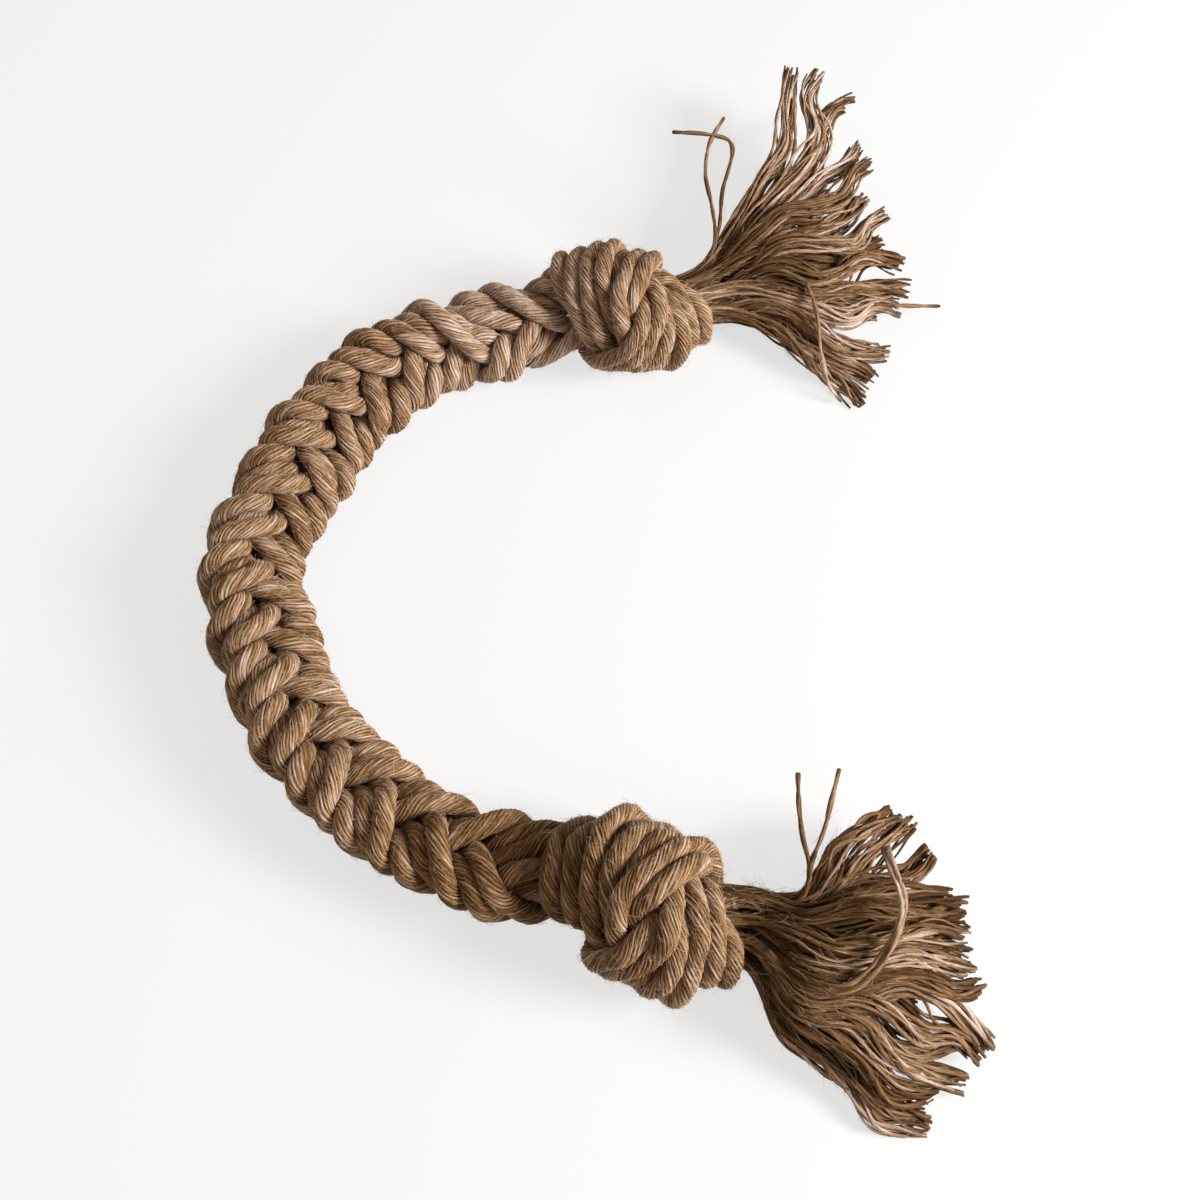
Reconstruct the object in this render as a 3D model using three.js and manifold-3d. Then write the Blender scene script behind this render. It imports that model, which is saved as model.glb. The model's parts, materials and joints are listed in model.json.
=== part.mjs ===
// Rope dog toy: nine jute ropes plaited three by three, an overhand knot near each end, frayed tassels.
import * as THREE from "three";
import { mergeVertices } from "three/addons/utils/BufferGeometryUtils.js";
import Module from "manifold-3d";

const wasm = await Module();
wasm.setup();

// Driving sizes in millimetres
const ROPE = 5.25; // diameter of one jute rope
const GAP = 1.1; // air between neighbouring ropes
const ROOT_GAP = 0.3; // air between a knot and the root of its tassel
const PERIOD = 44; // one full repeat of the plait along its length
const PLAIT_WIDE = 11.5; // half width of the plait before the ropes are drawn tight
const PLAIT_DEEP = 8; // half depth of the plait before the ropes are drawn tight
const PLAIT_LEAN = 50; // degrees that the plait leans into its bend at the middle of its length
const KNOT_LENGTH = 45; // from the end of the plait to the root of the tassel
const KNOT_TAIL = 9; // rope drawn out beyond that root while the knot is pulled tight
const KNOT_RING = 10; // radius of the ring that the loose knot runs round
const KNOT_PLY = 6; // how far the loose knot weaves to either side of that ring
const LIE_HEIGHT = 14.5; // middle of the plait above the floor
const KNOT_HEIGHT = 18; // middle of a knot above the floor
const TASSEL_ROOT = 7; // radius of the gathered root of a tassel
const LOCK_BASE = 6.5; // thickness of a lock of yarn where it leaves that root
const LOCK_TIP = 2.8; // thickness of a lock of yarn at its tip
const LOCK_WAVE = 3.5; // how far a lock waves to either side
const BEND_REACH = 18.5; // radius of the rounded cut where the plait bends
const NECK_REACH = 13; // radius of the rounded cut where a knot tips
const NECK_BACK = 13; // how far before the end of the plait a knot tips

// Route of the plait seen from above, from the lower knot round to the upper one
const ROUTE = [
  [-13, -82],
  [-36, -76],
  [-57, -63],
  [-76, -44],
  [-89, -20],
  [-95, 5],
  [-92, 21],
  [-79, 49],
  [-59, 71],
  [-36, 81],
  [-18, 85],
];
// How each knot is turned about the way out of the plait, the hand it is tied with, and the share of its
// diameter that a rope keeps inside it
const LOWER_KNOT = { turn: 5.5, hand: -1, squeeze: 0.95 };
const UPPER_KNOT = { turn: 2.4, hand: -1, squeeze: 0.88 };

// Tips of the frayed locks, seen from above, with their height over the floor
const LOWER_TIPS = [
  [95, -124, 4],
  [86, -133, 4],
  [77, -141, 4],
  [63, -135, 5],
  [49, -127, 7],
  [94, -113, 7],
  [90, -105, 13],
  [87, -95, 18],
  [84, -85, 14],
  [82, -76, 12],
  [73, -66, 16],
  [59, -64, 38],
  [78, -126, 15],
  [70, -112, 26],
  [77, -100, 28],
];
const UPPER_TIPS = [
  [61, 178, 27],
  [52, 172, 24],
  [71, 170, 18],
  [79, 163, 14],
  [86, 152, 12],
  [92, 141, 14],
  [96, 130, 10],
  [99, 117, 8],
  [105, 102, 6],
  [93, 88, 5],
  [80, 66, 4],
  [64, 74, 6],
  [40, 147, 38],
  [82, 124, 26],
  [78, 104, 24],
];

const STRANDS = ["a", "b", "c"];
const ROPES_PER_STRAND = 3;
const ROPE_PHASE = 28; // degrees of the plait's repeat between neighbouring ropes of a strand

// How finely the ropes are followed while they are drawn tight, and how closely the tubes keep to them
const STATION = 1.5;
const KNOT_POINTS = 100;
const ROUNDS = 1300;
const SWELL_ROUNDS = 1000;
const SETTLE_ROUNDS = 250;
const PULL = 0.3;
const EVEN_ROUNDS = 60;
const TUBE_SIDES = 5;
const TUBE_STRAY = 0.4;
const TUBE_STEP = 9;
const LOCK_STEPS = 5;

const UP = new THREE.Vector3(0, 0, 1);
const { degToRad, lerp, smoothstep } = THREE.MathUtils;

// The line down the middle of the plait
const axis = new THREE.CatmullRomCurve3(
  ROUTE.map(([x, y], i) => {
    const fromMiddle = Math.abs((2 * i) / (ROUTE.length - 1) - 1);
    return new THREE.Vector3(x, y, lerp(LIE_HEIGHT, KNOT_HEIGHT, smoothstep(fromMiddle, 0.45, 1)));
  }),
);
const axisLength = axis.getLength();

// The middle, the way along and the way across the plait at a share of its length
function axisFrame(share) {
  const at = axis.getPointAt(share);
  const along = axis.getTangentAt(share).setZ(0).normalize();
  const across = new THREE.Vector3().crossVectors(along, UP);
  return { at, along, across };
}

// A loose overhand knot that leaves the plait at one end: two turns about the way out, woven in and out
function looseKnot(frame, out, { turn, hand }) {
  const e = frame.across.clone().applyAxisAngle(out, turn);
  const f = new THREE.Vector3().crossVectors(out, e);
  const middle = KNOT_LENGTH / 2;
  const place = (along, radius, angle) =>
    frame.at
      .clone()
      .addScaledVector(out, along)
      .addScaledVector(e, radius * Math.cos(angle))
      .addScaledVector(f, hand * radius * Math.sin(angle));
  const loose = [place(0, 0, 0), place(middle - 2 * KNOT_PLY, 0, 0)];
  for (let degrees = 330; degrees >= 30; degrees -= 10) {
    const t = degToRad(degrees);
    loose.push(place(middle + KNOT_PLY * Math.sin(3 * t), KNOT_RING + KNOT_PLY * Math.cos(3 * t), 2 * t));
  }
  loose.push(place(middle + 2 * KNOT_PLY, 0, 0), place(KNOT_LENGTH + KNOT_TAIL, 0, 0));
  return new THREE.CatmullRomCurve3(loose).getSpacedPoints(KNOT_POINTS);
}

// Two directions across a line of points, carried along it without twist, or kept upright where that is asked
function carriedFrames(points, first, upright = false) {
  const side = first.clone();
  return points.map((_, i) => {
    const before = points[Math.max(i - 1, 0)];
    const after = points[Math.min(i + 1, points.length - 1)];
    const along = after.clone().sub(before).normalize();
    if (upright) {
      side.copy(UP);
    }
    side.addScaledVector(along, -side.dot(along)).normalize();
    return { along, side: side.clone(), lift: new THREE.Vector3().crossVectors(side, along) };
  });
}

// Where a rope of the plait lies in its cross-section: across and up
const stations = Math.round(axisLength / STATION);
function plaitPlace(station, phase) {
  const angle = (2 * Math.PI * station * (axisLength / stations)) / PERIOD + phase;
  return [-PLAIT_WIDE * Math.cos(angle), PLAIT_DEEP * Math.sin(2 * angle)];
}

const line = Array.from({ length: stations + 1 }, (_, i) => axisFrame(i / stations));
const lowerEnd = line[0];
const upperEnd = line[stations];
const lowerOut = lowerEnd.along.clone().negate();
const upperOut = upperEnd.along.clone();
const lowerRoot = lowerEnd.at.clone().addScaledVector(lowerOut, KNOT_LENGTH);
const upperRoot = upperEnd.at.clone().addScaledVector(upperOut, KNOT_LENGTH);
const lowerKnot = looseKnot(lowerEnd, lowerOut, LOWER_KNOT);
const upperKnot = looseKnot(upperEnd, upperOut, UPPER_KNOT);

// The ropes before they are drawn tight: the plait's own weave, with a loose knot at either end
function looseRopes() {
  const lowerFrames = carriedFrames(lowerKnot, lowerEnd.across);
  const upperFrames = carriedFrames(upperKnot, upperEnd.across);
  const inKnot = (knot, frames, i, [a, b]) => {
    const fromEnd = Math.min(knot[i].distanceTo(knot[0]), knot[i].distanceTo(knot[KNOT_POINTS]));
    const thin = lerp(1, 0.2, smoothstep(fromEnd, 0, KNOT_LENGTH / 2 - 2 * KNOT_PLY));
    return knot[i].clone().addScaledVector(frames[i].side, a * thin).addScaledVector(frames[i].lift, b * thin);
  };
  const ropes = [];
  for (let strand = 0; strand < STRANDS.length; strand++) {
    for (let k = 0; k < ROPES_PER_STRAND; k++) {
      const phase = degToRad((360 / STRANDS.length) * strand + ROPE_PHASE * (k - 1));
      const points = [];
      for (let i = KNOT_POINTS; i > 0; i--) {
        points.push(inKnot(lowerKnot, lowerFrames, i, plaitPlace(0, phase)));
      }
      line.forEach(({ at, across }, i) => {
        const [a, b] = plaitPlace(i, phase);
        const lean = degToRad(PLAIT_LEAN) * Math.sin((Math.PI * i) / stations);
        const sideways = a * Math.cos(lean) + b * Math.sin(lean);
        const upward = b * Math.cos(lean) - a * Math.sin(lean);
        points.push(at.clone().addScaledVector(across, sideways).addScaledVector(UP, upward));
      });
      for (let i = 1; i <= KNOT_POINTS; i++) {
        points.push(inKnot(upperKnot, upperFrames, i, plaitPlace(stations, phase)));
      }
      ropes.push(points);
    }
  }
  return ropes;
}

// The share of its diameter that a rope keeps at a point of its line
function squeezeAt(i) {
  const { squeeze } = i < KNOT_POINTS ? LOWER_KNOT : UPPER_KNOT;
  const outside = Math.max(KNOT_POINTS - i, i - KNOT_POINTS - stations, 0);
  return lerp(1, squeeze, smoothstep(outside, 0, KNOT_POINTS / 5));
}

// Draws the ropes tight: each is pulled straight, and none may enter another or the floor
function drawTight(ropes) {
  const count = ropes[0].length;
  const total = count * ropes.length;
  const [x, y, z, acrossX, acrossY, bendX, bendY, bendZ, thick] = Array.from(
    { length: 9 },
    () => new Float64Array(total),
  );
  const held = new Uint8Array(total);
  const plaitFrom = KNOT_POINTS;
  const plaitTo = KNOT_POINTS + stations;
  ropes.flat().forEach((p, n) => {
    const i = n % count;
    [x[n], y[n], z[n]] = p.toArray();
    const station = Math.min(Math.max(i - plaitFrom, 0), stations);
    const { across } = line[station];
    held[n] = i === 0 || i === count - 1 || (i >= plaitFrom && i <= plaitTo) ? 1 : 0;
    [acrossX[n], acrossY[n]] = [across.x, across.y];
    thick[n] = ROPE * squeezeAt(i);
    if (i > plaitFrom && i < plaitTo) {
      const [p0, p1, p2] = [line[station - 1].at, line[station].at, line[station + 1].at];
      bendX[n] = (p0.x + p2.x) / 2 - p1.x;
      bendY[n] = (p0.y + p2.y) / 2 - p1.y;
      bendZ[n] = (p0.z + p2.z) / 2 - p1.z;
    }
  });

  // A point of the plait, or at a tassel's root, moves only within its own cross-section
  function shift(n, dx, dy, dz) {
    if (held[n]) {
      const a = dx * acrossX[n] + dy * acrossY[n];
      x[n] += a * acrossX[n];
      y[n] += a * acrossY[n];
    } else {
      x[n] += dx;
      y[n] += dy;
    }
    z[n] += dz;
  }

  // Pairs of points within reach of each other, other than near neighbours along one rope
  function nearPairs(reach) {
    const cell = (v) => Math.floor(v / reach) + 500;
    const idOf = (i, j, k) => (i * 1000 + j) * 1000 + k;
    const sameStretch = (n, m) => Math.floor(m / count) === Math.floor(n / count) && n - m < 12;
    const cells = new Map();
    const pairs = [];
    for (let n = 0; n < total; n++) {
      const [ci, cj, ck] = [cell(x[n]), cell(y[n]), cell(z[n])];
      for (const i of [ci - 1, ci, ci + 1]) {
        for (const j of [cj - 1, cj, cj + 1]) {
          for (const k of [ck - 1, ck, ck + 1]) {
            for (const m of cells.get(idOf(i, j, k)) ?? []) {
              const apart = Math.hypot(x[n] - x[m], y[n] - y[m], z[n] - z[m]);
              if (apart < reach && !sameStretch(n, m)) {
                pairs.push(n, m);
              }
            }
          }
        }
      }
      const id = idOf(ci, cj, ck);
      cells.set(id, [...(cells.get(id) ?? []), n]);
    }
    return Int32Array.from(pairs);
  }

  function pushApart(pairs, share) {
    for (let q = 0; q < pairs.length; q += 2) {
      const n = pairs[q];
      const m = pairs[q + 1];
      const dx = x[n] - x[m];
      const dy = y[n] - y[m];
      const dz = z[n] - z[m];
      const reach = (share * (thick[n] + thick[m])) / 2;
      const square = dx * dx + dy * dy + dz * dz;
      if (square < reach * reach && square > 0) {
        const d = Math.sqrt(square);
        const s = (0.5 * (reach - d)) / d;
        shift(n, dx * s, dy * s, dz * s);
        shift(m, -dx * s, -dy * s, -dz * s);
      }
    }
    for (let n = 0; n < total; n++) {
      z[n] = Math.max(z[n], thick[n] / 2);
    }
  }

  function pullStraight() {
    const [ox, oy, oz] = [x.slice(), y.slice(), z.slice()];
    for (let n = 0; n < total; n++) {
      const i = n % count;
      if (i === 0 || i === count - 1) {
        const root = i === 0 ? lowerKnot[KNOT_POINTS] : upperKnot[KNOT_POINTS];
        const m = i === 0 ? n + 1 : n - 1;
        shift(
          n,
          0.5 * (ox[m] - ox[n]) + 0.05 * (root.x - ox[n]),
          0.5 * (oy[m] - oy[n]) + 0.05 * (root.y - oy[n]),
          0.5 * (oz[m] - oz[n]) + 0.05 * (root.z - oz[n]),
        );
      } else {
        shift(
          n,
          PULL * ((ox[n - 1] + ox[n + 1]) / 2 - ox[n] - bendX[n]),
          PULL * ((oy[n - 1] + oy[n + 1]) / 2 - oy[n] - bendY[n]),
          PULL * ((oz[n - 1] + oz[n + 1]) / 2 - oz[n] - bendZ[n]),
        );
      }
    }
  }

  // Spaces the points of each knot evenly along their ropes
  function evenOut(from, to) {
    for (let r = 0; r < ropes.length; r++) {
      const old = [];
      for (let n = r * count + from; n <= r * count + to; n++) {
        old.push(new THREE.Vector3(x[n], y[n], z[n]));
      }
      const path = new THREE.CurvePath();
      old.slice(1).forEach((p, i) => path.add(new THREE.LineCurve3(old[i], p)));
      path.getSpacedPoints(to - from).forEach((p, i) => {
        const n = r * count + from + i;
        [x[n], y[n], z[n]] = p.toArray();
      });
    }
  }

  let pairs;
  for (let round = 0; round < ROUNDS + SETTLE_ROUNDS; round++) {
    const share = Math.min(1, 0.2 + (0.8 * round) / SWELL_ROUNDS);
    if (round % EVEN_ROUNDS === 0) {
      evenOut(0, plaitFrom);
      evenOut(plaitTo, count - 1);
    }
    if (round % 8 === 0) {
      pairs = nearPairs(share * ROPE + 1.2);
    }
    if (round < ROUNDS) {
      pullStraight();
    }
    pushApart(pairs, share);
  }
  return ropes.map((points, r) =>
    points.map((_, i) => {
      const n = r * count + i;
      return new THREE.Vector3(x[n], y[n], z[n]);
    }),
  );
}

// Where the toy bends: each cut is rounded about its hinge, so that the outer piece turns clear of the inner one
const hinge = (share, sideways, outward, reach) => {
  const { at, along, across } = axisFrame(share);
  return { at, along, turnsAbout: sideways ? across : UP, outward, reach };
};
const neckShare = NECK_BACK / axisLength;
const hinges = [
  hinge(neckShare, true, -1, NECK_REACH),
  hinge(1 / 3, false, -1, BEND_REACH),
  hinge(2 / 3, false, 1, BEND_REACH),
  hinge(1 - neckShare, true, 1, NECK_REACH),
];
const SECTIONS = ["bottom_knot", "lower_plait", "middle_plait", "upper_plait", "top_knot"];

// A rope followed closely: places, the way along and the radius of its tube at each
const FINE = 0.25;
function followRope(points) {
  const curve = new THREE.CatmullRomCurve3(points);
  curve.arcLengthDivisions = 4 * points.length;
  const steps = Math.round(curve.getLength() / FINE);
  const rough = Array.from({ length: steps + 1 }, (_, i) => {
    const share = i / steps;
    const at = curve.getPointAt(share);
    const index = curve.getUtoTmapping(share) * (points.length - 1);
    return { at, along: curve.getTangentAt(share), radius: (ROPE * squeezeAt(index) - GAP) / 2 };
  });
  const beyond = ({ at }, root, out) => at.clone().sub(root).dot(out) > 0;
  const first = rough.findIndex((p) => !beyond(p, lowerRoot, lowerOut));
  const last = rough.findLastIndex((p) => !beyond(p, upperRoot, upperOut));
  return rough.slice(first, last + 1);
}

// How far a flat-ended tube reaches from a hinge at this place, least and most
function reachFrom({ at, turnsAbout }, { at: p, along, radius }) {
  const from = p.clone().sub(at);
  from.addScaledVector(turnsAbout, -from.dot(turnsAbout));
  const r = from.length();
  const tilt = along.dot(from) / Math.max(r, 1e-6);
  const spread = radius * Math.sqrt(Math.max(1 - tilt * tilt, 0));
  return [r - spread, Math.hypot(r + spread, radius)];
}

// The stretch of a rope on each side of every cut, as first and last place
function cutRope(places) {
  const middle = places.length / 2;
  const ends = hinges.map((h) => {
    let i = Math.round(middle);
    const inward = (k) => {
      const [, most] = reachFrom(h, places[k]);
      return most < h.reach || places[k].at.clone().sub(h.at).dot(h.along) * h.outward < 0;
    };
    while (inward(i)) {
      i += h.outward;
    }
    const innerEnd = i - h.outward;
    while (reachFrom(h, places[i])[0] < h.reach) {
      i += h.outward;
    }
    return { innerEnd, outerEnd: i };
  });
  return [
    [0, ends[0].outerEnd],
    [ends[0].innerEnd, ends[1].outerEnd],
    [ends[1].innerEnd, ends[2].innerEnd],
    [ends[2].outerEnd, ends[3].innerEnd],
    [ends[3].outerEnd, places.length - 1],
  ];
}

// The fewest places between two that keep the straight runs close to the rope
function thinOut(places, first, last) {
  const kept = [places[first]];
  const chord = new THREE.Line3();
  const foot = new THREE.Vector3();
  let from = first;
  while (from < last) {
    let to = from + 1;
    const fits = (k) => {
      chord.set(places[from].at, places[k].at);
      for (let i = from + 1; i < k; i++) {
        chord.closestPointToPoint(places[i].at, true, foot);
        if (foot.distanceTo(places[i].at) > TUBE_STRAY) {
          return false;
        }
      }
      return (k - from) * FINE <= TUBE_STEP;
    };
    while (to < last && fits(to + 1)) {
      to++;
    }
    kept.push(places[to]);
    from = to;
  }
  return kept;
}

// A closed tube with flat ends and an edge underneath; where it lies on the floor it is pressed flat
function tube(places, sides, floor, upright) {
  const line = places.map(({ at }) => at);
  const frames = carriedFrames(line, UP, upright);
  const firstCorner = sides % 2 === 1 ? 0 : 0.5;
  const position = [];
  const index = [];
  places.forEach(({ at, radius }, i) => {
    for (let k = 0; k < sides; k++) {
      const turn = (2 * Math.PI * (k + firstCorner)) / sides;
      const v = at
        .clone()
        .addScaledVector(frames[i].side, radius * Math.cos(turn))
        .addScaledVector(frames[i].lift, radius * Math.sin(turn));
      position.push(v.x, v.y, Math.max(v.z, floor));
    }
  });
  for (let i = 0; i + 1 < places.length; i++) {
    for (let k = 0; k < sides; k++) {
      const a = i * sides + k;
      const b = i * sides + ((k + 1) % sides);
      index.push(a, a + sides, b, b, a + sides, b + sides);
    }
  }
  const end = (places.length - 1) * sides;
  for (let k = 1; k + 1 < sides; k++) {
    index.push(0, k, k + 1);
    index.push(end, end + k + 1, end + k);
  }
  const made = new THREE.BufferGeometry();
  made.setAttribute("position", new THREE.Float32BufferAttribute(position, 3));
  made.setIndex(index);
  return made;
}

// Joins closed shapes into one
function joined(shapes) {
  const solids = shapes.map((shape) => {
    const bare = new THREE.BufferGeometry();
    bare.setAttribute("position", shape.getAttribute("position"));
    bare.setIndex(shape.index);
    const merged = mergeVertices(bare, 1e-4);
    return new wasm.Manifold(
      new wasm.Mesh({
        numProp: 3,
        vertProperties: new Float32Array(merged.getAttribute("position").array),
        triVerts: new Uint32Array(merged.index.array),
      }),
    );
  });
  const mesh = wasm.Manifold.union(solids).getMesh();
  const made = new THREE.BufferGeometry();
  made.setAttribute("position", new THREE.Float32BufferAttribute(mesh.vertProperties, 3));
  made.setIndex(Array.from(mesh.triVerts));
  return made;
}

// A tassel: locks of yarn that wave out to their tips from a gathered root
function tassel(root, out, tips, floor) {
  const centre = root.clone().addScaledVector(out, TASSEL_ROOT + ROOT_GAP);
  const gathered = new THREE.IcosahedronGeometry(TASSEL_ROOT, 1).translate(centre.x, centre.y, centre.z);
  const locks = tips.map(([x, y, z], n) => {
    const tip = new THREE.Vector3(x, y, z);
    const across = new THREE.Vector3().crossVectors(tip.clone().sub(centre), UP).normalize();
    const wave = LOCK_WAVE * Math.sin(2.4 * n);
    const via = [
      centre.clone(),
      centre.clone().lerp(tip, 0.35).addScaledVector(across, wave),
      centre.clone().lerp(tip, 0.7).addScaledVector(across, -wave),
      tip.clone(),
    ];
    via.forEach((v) => v.setZ(Math.max(v.z, floor + LOCK_TIP)));
    const places = new THREE.CatmullRomCurve3(via).getSpacedPoints(LOCK_STEPS).map((at, i) => ({
      at,
      radius: lerp(LOCK_BASE, LOCK_TIP, i / LOCK_STEPS) / 2,
    }));
    return tube(places, 4, floor, false);
  });
  return joined([gathered, ...locks]);
}

const ropes = drawTight(looseRopes());
const followed = ropes.map(followRope);
const lowest = Math.min(...followed.flat().map(({ at, radius }) => at.z - radius));
const underEdge = ((ROPE - GAP) / 2) * (1 - Math.cos(Math.PI / TUBE_SIDES));
const floor = lowest + underEdge + ROPE / 4;
const jute = (colour) => new THREE.MeshStandardMaterial({ color: colour, roughness: 0.92, metalness: 0 });

const root = new THREE.Group();
function addPiece(name, geometry, colour) {
  const mesh = new THREE.Mesh(geometry, jute(colour));
  mesh.name = name;
  root.add(mesh);
}
followed.forEach((places, n) => {
  const strand = STRANDS[Math.floor(n / ROPES_PER_STRAND)];
  const number = (n % ROPES_PER_STRAND) + 1;
  cutRope(places).forEach(([first, last], k) => {
    const lies = SECTIONS[k].endsWith("plait");
    const shape = tube(thinOut(places, first, last), TUBE_SIDES, floor, lies);
    addPiece(`strand_${strand}_rope_${number}_${SECTIONS[k]}`, shape, 0xa67f57);
  });
});
addPiece("bottom_tassel", tassel(lowerRoot, lowerOut, LOWER_TIPS, floor), 0x8f6b45);
addPiece("top_tassel", tassel(upperRoot, upperOut, UPPER_TIPS, floor), 0x8f6b45);

// The part stands on the floor with its box centred on the origin
const box = new THREE.Box3().setFromObject(root);
const centre = box.getCenter(new THREE.Vector3());
root.position.set(-centre.x, -centre.y, -box.min.z);
root.userData.hinges = hinges;
root.userData.roots = [lowerRoot, upperRoot];
root.userData.outs = [lowerOut, upperOut];
export default root;
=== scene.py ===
"""Rope dog toy: laid jute ropes, frayed tassels and loose fibres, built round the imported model."""

import json
import math

import bpy
import numpy as np
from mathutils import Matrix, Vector
from mathutils.kdtree import KDTree

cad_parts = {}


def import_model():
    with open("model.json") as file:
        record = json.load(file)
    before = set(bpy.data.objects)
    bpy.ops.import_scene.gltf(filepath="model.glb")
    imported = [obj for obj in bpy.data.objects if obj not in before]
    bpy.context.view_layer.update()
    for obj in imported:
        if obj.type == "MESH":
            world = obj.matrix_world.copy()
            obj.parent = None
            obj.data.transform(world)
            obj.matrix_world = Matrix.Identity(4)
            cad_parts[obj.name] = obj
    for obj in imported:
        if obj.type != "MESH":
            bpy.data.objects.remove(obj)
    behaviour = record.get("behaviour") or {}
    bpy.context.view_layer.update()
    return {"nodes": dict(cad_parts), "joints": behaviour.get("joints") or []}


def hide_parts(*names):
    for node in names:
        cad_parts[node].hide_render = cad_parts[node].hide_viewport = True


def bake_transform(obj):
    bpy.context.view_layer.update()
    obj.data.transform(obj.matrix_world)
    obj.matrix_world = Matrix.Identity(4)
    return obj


# Lengths here are in millimetres, and the scene is in metres
MM = 1000

# The laid ropes
STRANDS = ("a", "b", "c")
ROPES = (1, 2, 3)
SECTIONS = ("bottom_knot", "lower_plait", "middle_plait", "upper_plait", "top_knot")
ROPE_RADIUS = {
    "bottom_knot": 2.62,
    "lower_plait": 2.76,
    "middle_plait": 2.72,
    "upper_plait": 2.8,
    "top_knot": 2.5,
}
END_TAPER = 6
END_SHARE = 0.62
RING_STEP = 0.8
FINE_STEP = RING_STEP / 4
LINE_ROUNDS = 12
RADIUS_ROUNDS = 60
BODY_SWELL = 0.03
BODY_WAVE = 31
SURFACE_ROUGH = 0.045

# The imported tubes: digits that tell corners apart, and edges that meet at an end or a side corner
CORNER_DIGITS = 3
END_EDGES = 4
SIDE_EDGES = 6

# The yarns of a laid rope, with their places across from the groove at -1 over the crown at 0
YARNS = 15
YARN_ACROSS = (-1.0, -0.5, 0.0, 0.5)
CROWN_PLACE = YARN_ACROSS.index(0.0)
YARN_SHARES = (0.7, 1.3)
YARN_RISE = 0.62
YARN_ROUND = 0.9
YARN_SWELL = 0.2
SWELL_WAVE = 17
GROOVE_DEPTH = 0.78
GROOVE_LEAST = 0.25
GROOVE_VARY = 0.3
GROOVE_VARY_WAVE = 9
LAY_RADIUS = 2.5
LAY_ANGLE = math.radians(35)
LAY_DRIFT = 0.15
LAY_WAVE = 40

# Where ropes press on each other and on the floor
CONTACT_GAP = 0.03
CONTACT_REACH = 0.3
OWN_REACH = 14
FLOOR_GAP = 0.02
FREE_SHARE = 0.985

# The hinges
HINGES = ("bottom_neck", "lower_bend", "upper_bend", "top_neck")

# Tones of the jute, from 0 for dark to 1 for pale, and the lengths over which they fade
# Painted shade: each rope is darker over its first 150 to 260 mm from the bottom tassel, standing in
# for light that falls off towards the bottom of the toy
LOWER_DARKER = 0.15
LOWER_FADE = (150, 260)
# Painted shadow beside the bottom neck, where the bottom knot shades the rope, and painted light
# beside the top neck, which lifts the shade by the top knot
NECK_DARKER = {"bottom_neck": 0.4, "top_neck": -0.45}
NECK_FADE = (12, 44)
# Painted shade in the grooves between a rope's yarns: how much groove colour comes in, and how fast
# it fades up the yarns' sides
GROOVE_DARKER = 0.9
GROOVE_CURVE = 1.5
SWELL_TINT = 0.3
TONE_SHIFT = -0.09
LOCK_TONE_SPREAD = 0.17
YARN_TONE_SPREAD = 0.23
STRAY_TONE_SPREAD = 0.05
# Painted shade: yarns that lie beneath the top of a lock are darker by this much for each millimetre
# they lie lower
UNDER_DARKER = 0.06
# Tassel yarns are darker from the root and paler towards the tip: painted shade by the knots,
# painted light at the tips, which face the key lamp
ROOT_DARKER = 0.15
TIP_PALER = 0.4
# Painted shade along the narrow sides of each tassel yarn
LOBE_DARKER = 0.1
CUT_DARKER = (0.2, 0.75)
FIBRE_TONES = (-0.3, 0.5)

# The frayed yarns of the tassels, which part some rings back from a rope's end
FRAY_BACK = 7
LEAVE_LENGTH = 10
ROUTE_STEP = 0.5
YARN_RADIUS = 0.51
YARN_WIDTHS = (0.65, 1.25)
TIP_WIDTH = 0.8
LOWEST_YARN = 1.6 * YARN_RADIUS
YARN_TWIST = 0.2
YARN_LOBES = 0.1
FRAYED_SWELL = 0.09
FRAYED_WAVE = 15
FRAYED_ROUGH = 0.03
YARN_CORNERS = 4
YARN_PLACES = 50

# The locks of yarns: a spiral of yarns on top of others that are spread beneath them
YARNS_PER_LOCK = 24
YARNS_ON_TOP = 12
ROPE_WAY_SHARE = 0.5
BEGIN_SHARES = (0.8, 0.4)
LENGTH_SHARES = (0.93, 1.0)
SPIRAL_TURN = 2.4
SPIRAL_START = 0.3
YARN_SPACING = 0.6
LOCK_WIDE = 1.1
LOCK_HIGH = 0.8
LOCK_ROLL = 1.2
FAN = 1.1
FAN_LOSS = 0.35
TIP_GATHERED = 0.75
UNDER_DEPTH = (2, 9)
UNDER_SPREAD = 6
STRAYING_YARNS = 0.15
STRAYING = (0.5, 1.6)
YARN_WAVES = (1.5, 3.5)
WAVE_HEIGHTS = (0.3, 1.6)
WAVE_LIFT = 0.5
STRAY_WIDTH = 1.3
STRAY_SPACING = 0.5
STRAY_TWIST = 5

# Stretches of a yarn, from 0 at its root to 1 at its tip
JOINING = (0.0, 0.4)
SPREADING = (0.1, 0.45)
WAVING = (0.15, 0.7)
# The stretch over which the painted light of the tips rises
PALING = (0.4, 0.85)
GATHERING = (0.55, 1)
CUT = (0.9, 1)

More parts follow.
